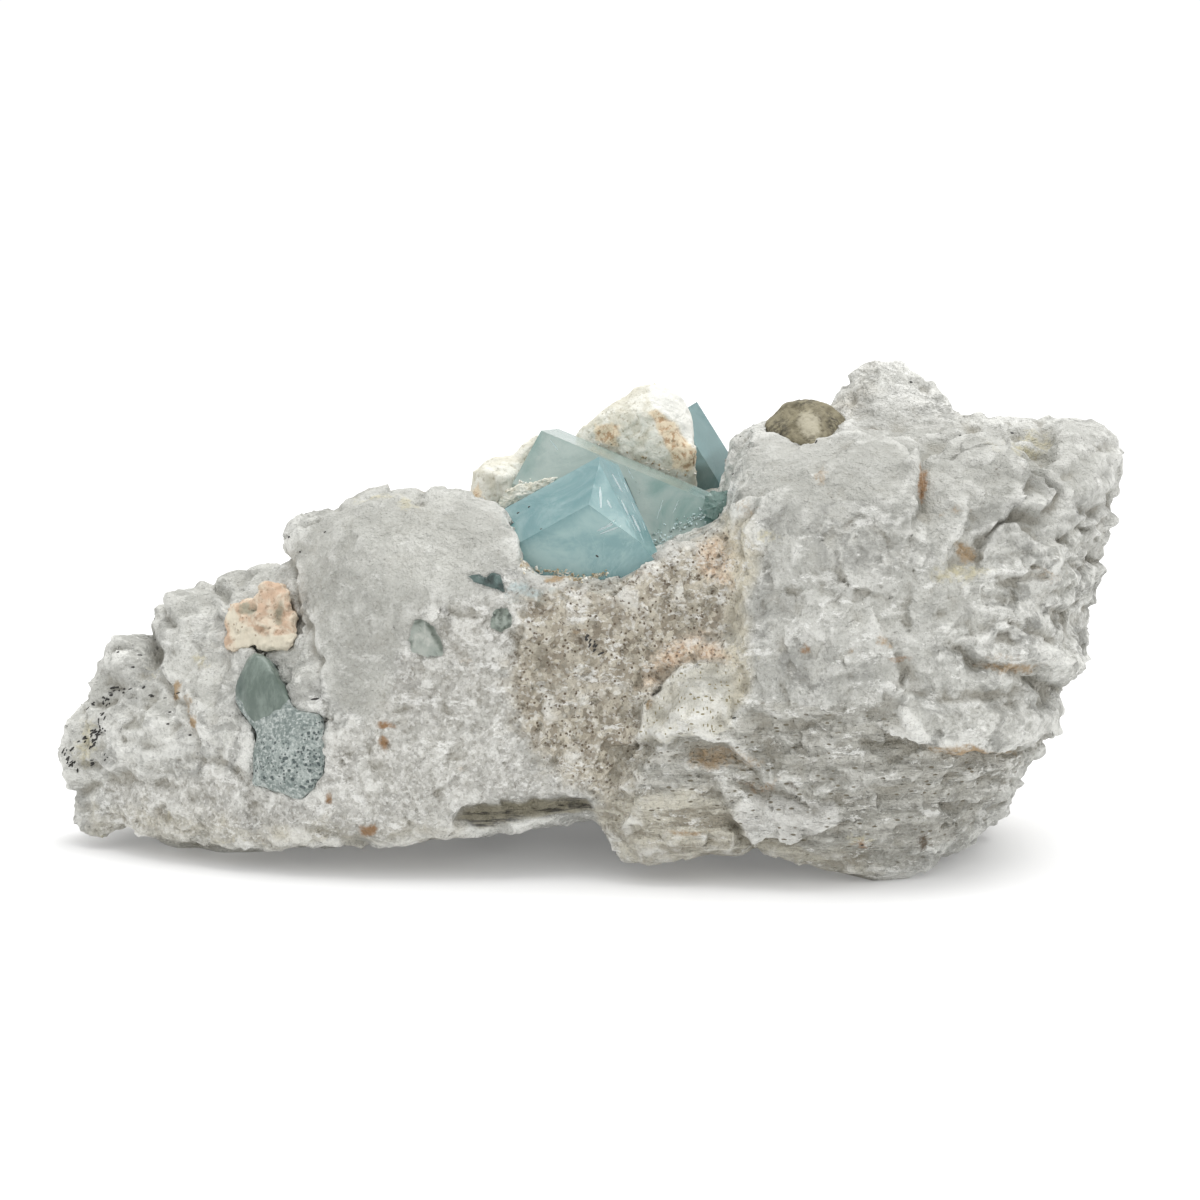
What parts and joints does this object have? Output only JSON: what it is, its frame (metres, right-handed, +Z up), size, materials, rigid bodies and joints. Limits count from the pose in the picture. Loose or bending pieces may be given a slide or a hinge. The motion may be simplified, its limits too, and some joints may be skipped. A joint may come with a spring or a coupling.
{
  "type": "aquamarine specimen on feldspar matrix",
  "caption": "Broken block of white feldspar and quartz that stands on its own worn base, with blue and pale green aquamarine prisms set in its upper edge.",
  "frame": {"origin": "middle of the floor under the bounding box", "axes": "+X along the long side, +Z up, -Y towards the face with the crystals"},
  "size_m": [0.1332, 0.0574, 0.0603],
  "materials": {
    "white_feldspar": "broken, rough, with worn translucent patches",
    "cream_feldspar": "broken, rough, with rusty stains",
    "peach_feldspar": "pitted, dull",
    "smoky_quartz": "weathered, slightly glossy",
    "blue_beryl": "clear with haze and small fractures, polished by nature",
    "pale_beryl": "clear with haze, slightly etched",
    "green_beryl": "cloudy, partly etched into grains"
  },
  "bodies": {
    "root": {"matrix": "white_feldspar", "cream_feldspar": "cream_feldspar", "peach_feldspar": "peach_feldspar", "smoky_quartz": "smoky_quartz", "aquamarine_front": "blue_beryl", "aquamarine_back": "pale_beryl", "aquamarine_rear": "blue_beryl", "beryl_etched": "green_beryl", "beryl_teal": "green_beryl", "beryl_round": "green_beryl", "beryl_pale": "green_beryl"}
  },
  "joints": []
}
